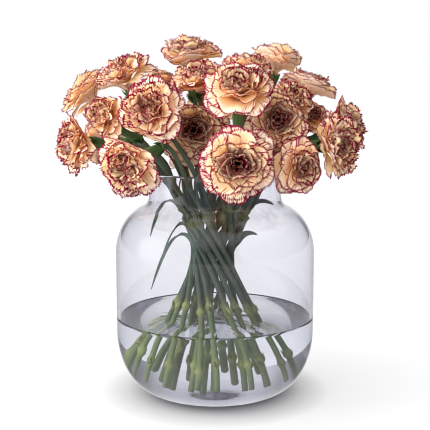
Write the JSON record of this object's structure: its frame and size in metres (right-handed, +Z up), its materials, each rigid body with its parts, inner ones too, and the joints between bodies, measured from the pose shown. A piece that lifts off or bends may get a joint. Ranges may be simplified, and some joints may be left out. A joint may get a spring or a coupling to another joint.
{
  "type": "carnations in a glass vase",
  "caption": "Spiralled bunch of fringed two-colour carnations standing in water in a clear bottle-shouldered glass vase.",
  "frame": {"origin": "middle of the vase's flat foot, on the surface it stands on", "axes": "+Z up along the vase, -Y towards the side that the picture shows, +X to the right of it"},
  "size_m": [0.3125, 0.2341, 0.3624],
  "materials": {
    "clear_glass": "clear polished soda-lime glass, fire-polished rim",
    "water": "clear still water",
    "petals": "thin matt petals, cream to amber with crimson toothed edges",
    "green": "satin green stems and calyx with a waxy grey bloom"
  },
  "bodies": {
    "root": {"vase": "clear_glass", "water": "water", "bloom_01": "petals", "stem_01": "green", "bloom_02": "petals", "stem_02": "green", "bloom_03": "petals", "stem_03": "green", "bloom_04": "petals", "stem_04": "green", "bloom_05": "petals", "stem_05": "green", "bloom_06": "petals", "stem_06": "green", "bloom_07": "petals", "stem_07": "green", "bloom_08": "petals", "stem_08": "green", "bloom_09": "petals", "stem_09": "green", "bloom_10": "petals", "stem_10": "green", "bloom_11": "petals", "stem_11": "green", "bloom_12": "petals", "stem_12": "green", "bloom_13": "petals", "stem_13": "green", "bloom_14": "petals", "stem_14": "green", "bloom_15": "petals", "stem_15": "green", "bloom_16": "petals", "stem_16": "green", "bloom_17": "petals", "stem_17": "green", "bloom_18": "petals", "stem_18": "green", "bloom_19": "petals", "stem_19": "green", "bloom_20": "petals", "stem_20": "green", "bloom_21": "petals", "stem_21": "green", "bloom_22": "petals", "stem_22": "green", "bloom_23": "petals", "stem_23": "green", "bloom_24": "petals", "stem_24": "green", "bloom_25": "petals", "stem_25": "green", "bloom_26": "petals", "stem_26": "green"}
  },
  "joints": []
}
